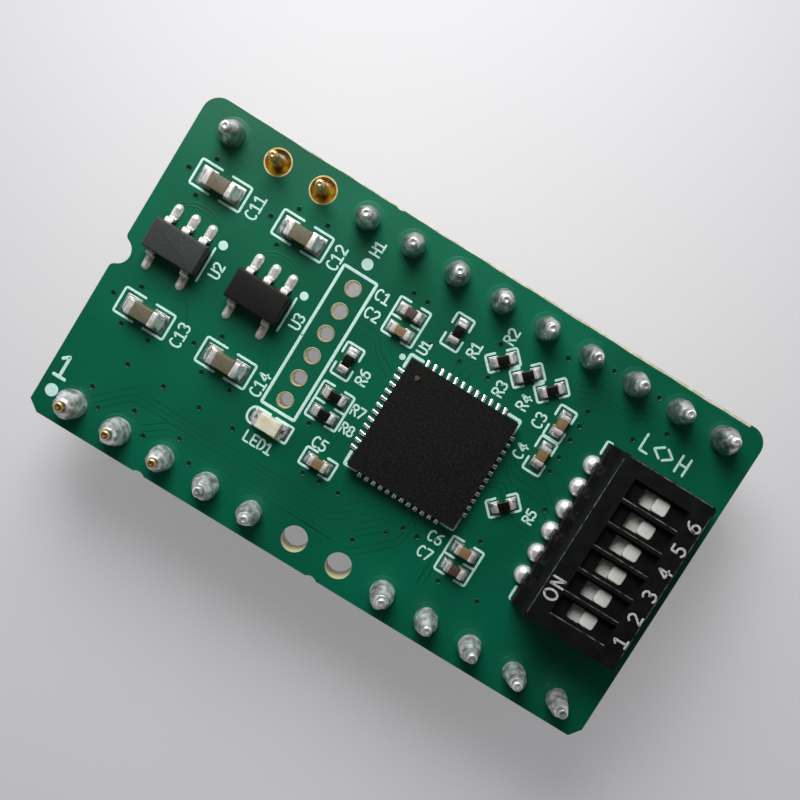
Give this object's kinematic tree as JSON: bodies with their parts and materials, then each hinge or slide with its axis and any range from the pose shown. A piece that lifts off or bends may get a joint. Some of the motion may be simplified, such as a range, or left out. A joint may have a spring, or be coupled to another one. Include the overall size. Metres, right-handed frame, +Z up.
{
  "type": "plug-in logic module",
  "caption": "Plug-in circuit board on rows of turned pins, with a square logic chip, regulators, chip capacitors and resistors, a lamp and a row of slide switches.",
  "frame": {"origin": "centre of the board's outline, at the height of the pins' lower ends", "axes": "+X along the board from its notched end to its switch end, +Y towards pins 13 to 24, +Z up from the pin tips through the board"},
  "size_m": [0.0318, 0.0178, 0.0085],
  "materials": {
    "circuit_board": "glass-epoxy laminate under glossy green solder mask",
    "pins": "gold over nickel on turned brass",
    "solder": "satin tin solder",
    "chip_moulding": "fine matt black epoxy moulding",
    "tinned_terminals": "tin plate",
    "capacitor_ceramic": "fired ceramic",
    "resistor_glaze": "black glaze on ceramic",
    "plated_ends": "tin plate over nickel",
    "lamp_base": "white laminate",
    "lamp_lens": "cast epoxy",
    "switch_moulding": "black moulded plastic",
    "switch_slider": "white moulded plastic",
    "spring_bronze": "gold-flashed spring bronze"
  },
  "bodies": {
    "root": {"circuit_board": "circuit_board", "pins_1_to_12": "pins", "pins_13_to_24": "pins", "solder_joints_1_to_12": "solder", "solder_joints_13_to_24": "solder", "logic_chip_body": "chip_moulding", "logic_chip_terminals": "tinned_terminals", "logic_chip_thermal_pad": "tinned_terminals", "regulator_1_body": "chip_moulding", "regulator_1_leads": "tinned_terminals", "regulator_2_body": "chip_moulding", "regulator_2_leads": "tinned_terminals", "bulk_capacitor_1": "capacitor_ceramic", "bulk_capacitor_2": "capacitor_ceramic", "bulk_capacitor_3": "capacitor_ceramic", "bulk_capacitor_4": "capacitor_ceramic", "bulk_capacitor_ends": "plated_ends", "small_capacitor_1": "capacitor_ceramic", "small_capacitor_2": "capacitor_ceramic", "small_capacitor_3": "capacitor_ceramic", "small_capacitor_4": "capacitor_ceramic", "small_capacitor_5": "capacitor_ceramic", "small_capacitor_6": "capacitor_ceramic", "small_capacitor_7": "capacitor_ceramic", "small_capacitor_ends": "plated_ends", "chip_resistor_1": "resistor_glaze", "chip_resistor_2": "resistor_glaze", "chip_resistor_3": "resistor_glaze", "chip_resistor_4": "resistor_glaze", "chip_resistor_5": "resistor_glaze", "chip_resistor_6": "resistor_glaze", "chip_resistor_7": "resistor_glaze", "chip_resistor_8": "resistor_glaze", "chip_resistor_ends": "plated_ends", "led_base": "lamp_base", "led_lens": "lamp_lens", "led_terminals": "plated_ends", "switch_base": "switch_moulding", "switch_cover": "switch_moulding", "switch_terminals": "tinned_terminals", "switch_solder_joints": "solder"},
    "way_1": {"switch_slider_1": "switch_slider", "switch_wiper_1": "spring_bronze"},
    "way_2": {"switch_slider_2": "switch_slider", "switch_wiper_2": "spring_bronze"},
    "way_3": {"switch_slider_3": "switch_slider", "switch_wiper_3": "spring_bronze"},
    "way_4": {"switch_slider_4": "switch_slider", "switch_wiper_4": "spring_bronze"},
    "way_5": {"switch_slider_5": "switch_slider", "switch_wiper_5": "spring_bronze"},
    "way_6": {"switch_slider_6": "switch_slider", "switch_wiper_6": "spring_bronze"}
  },
  "joints": [
    {"name": "way_1_slide", "type": "slide", "parent": "root", "child": "way_1", "axis": [-1, 0, 0], "range_m": [0, 0.00072]},
    {"name": "way_2_slide", "type": "slide", "parent": "root", "child": "way_2", "axis": [-1, 0, 0], "range_m": [0, 0.00072]},
    {"name": "way_3_slide", "type": "slide", "parent": "root", "child": "way_3", "axis": [-1, 0, 0], "range_m": [0, 0.00072]},
    {"name": "way_4_slide", "type": "slide", "parent": "root", "child": "way_4", "axis": [-1, 0, 0], "range_m": [0, 0.00072]},
    {"name": "way_5_slide", "type": "slide", "parent": "root", "child": "way_5", "axis": [-1, 0, 0], "range_m": [0, 0.00072]},
    {"name": "way_6_slide", "type": "slide", "parent": "root", "child": "way_6", "axis": [-1, 0, 0], "range_m": [0, 0.00072]}
  ]
}
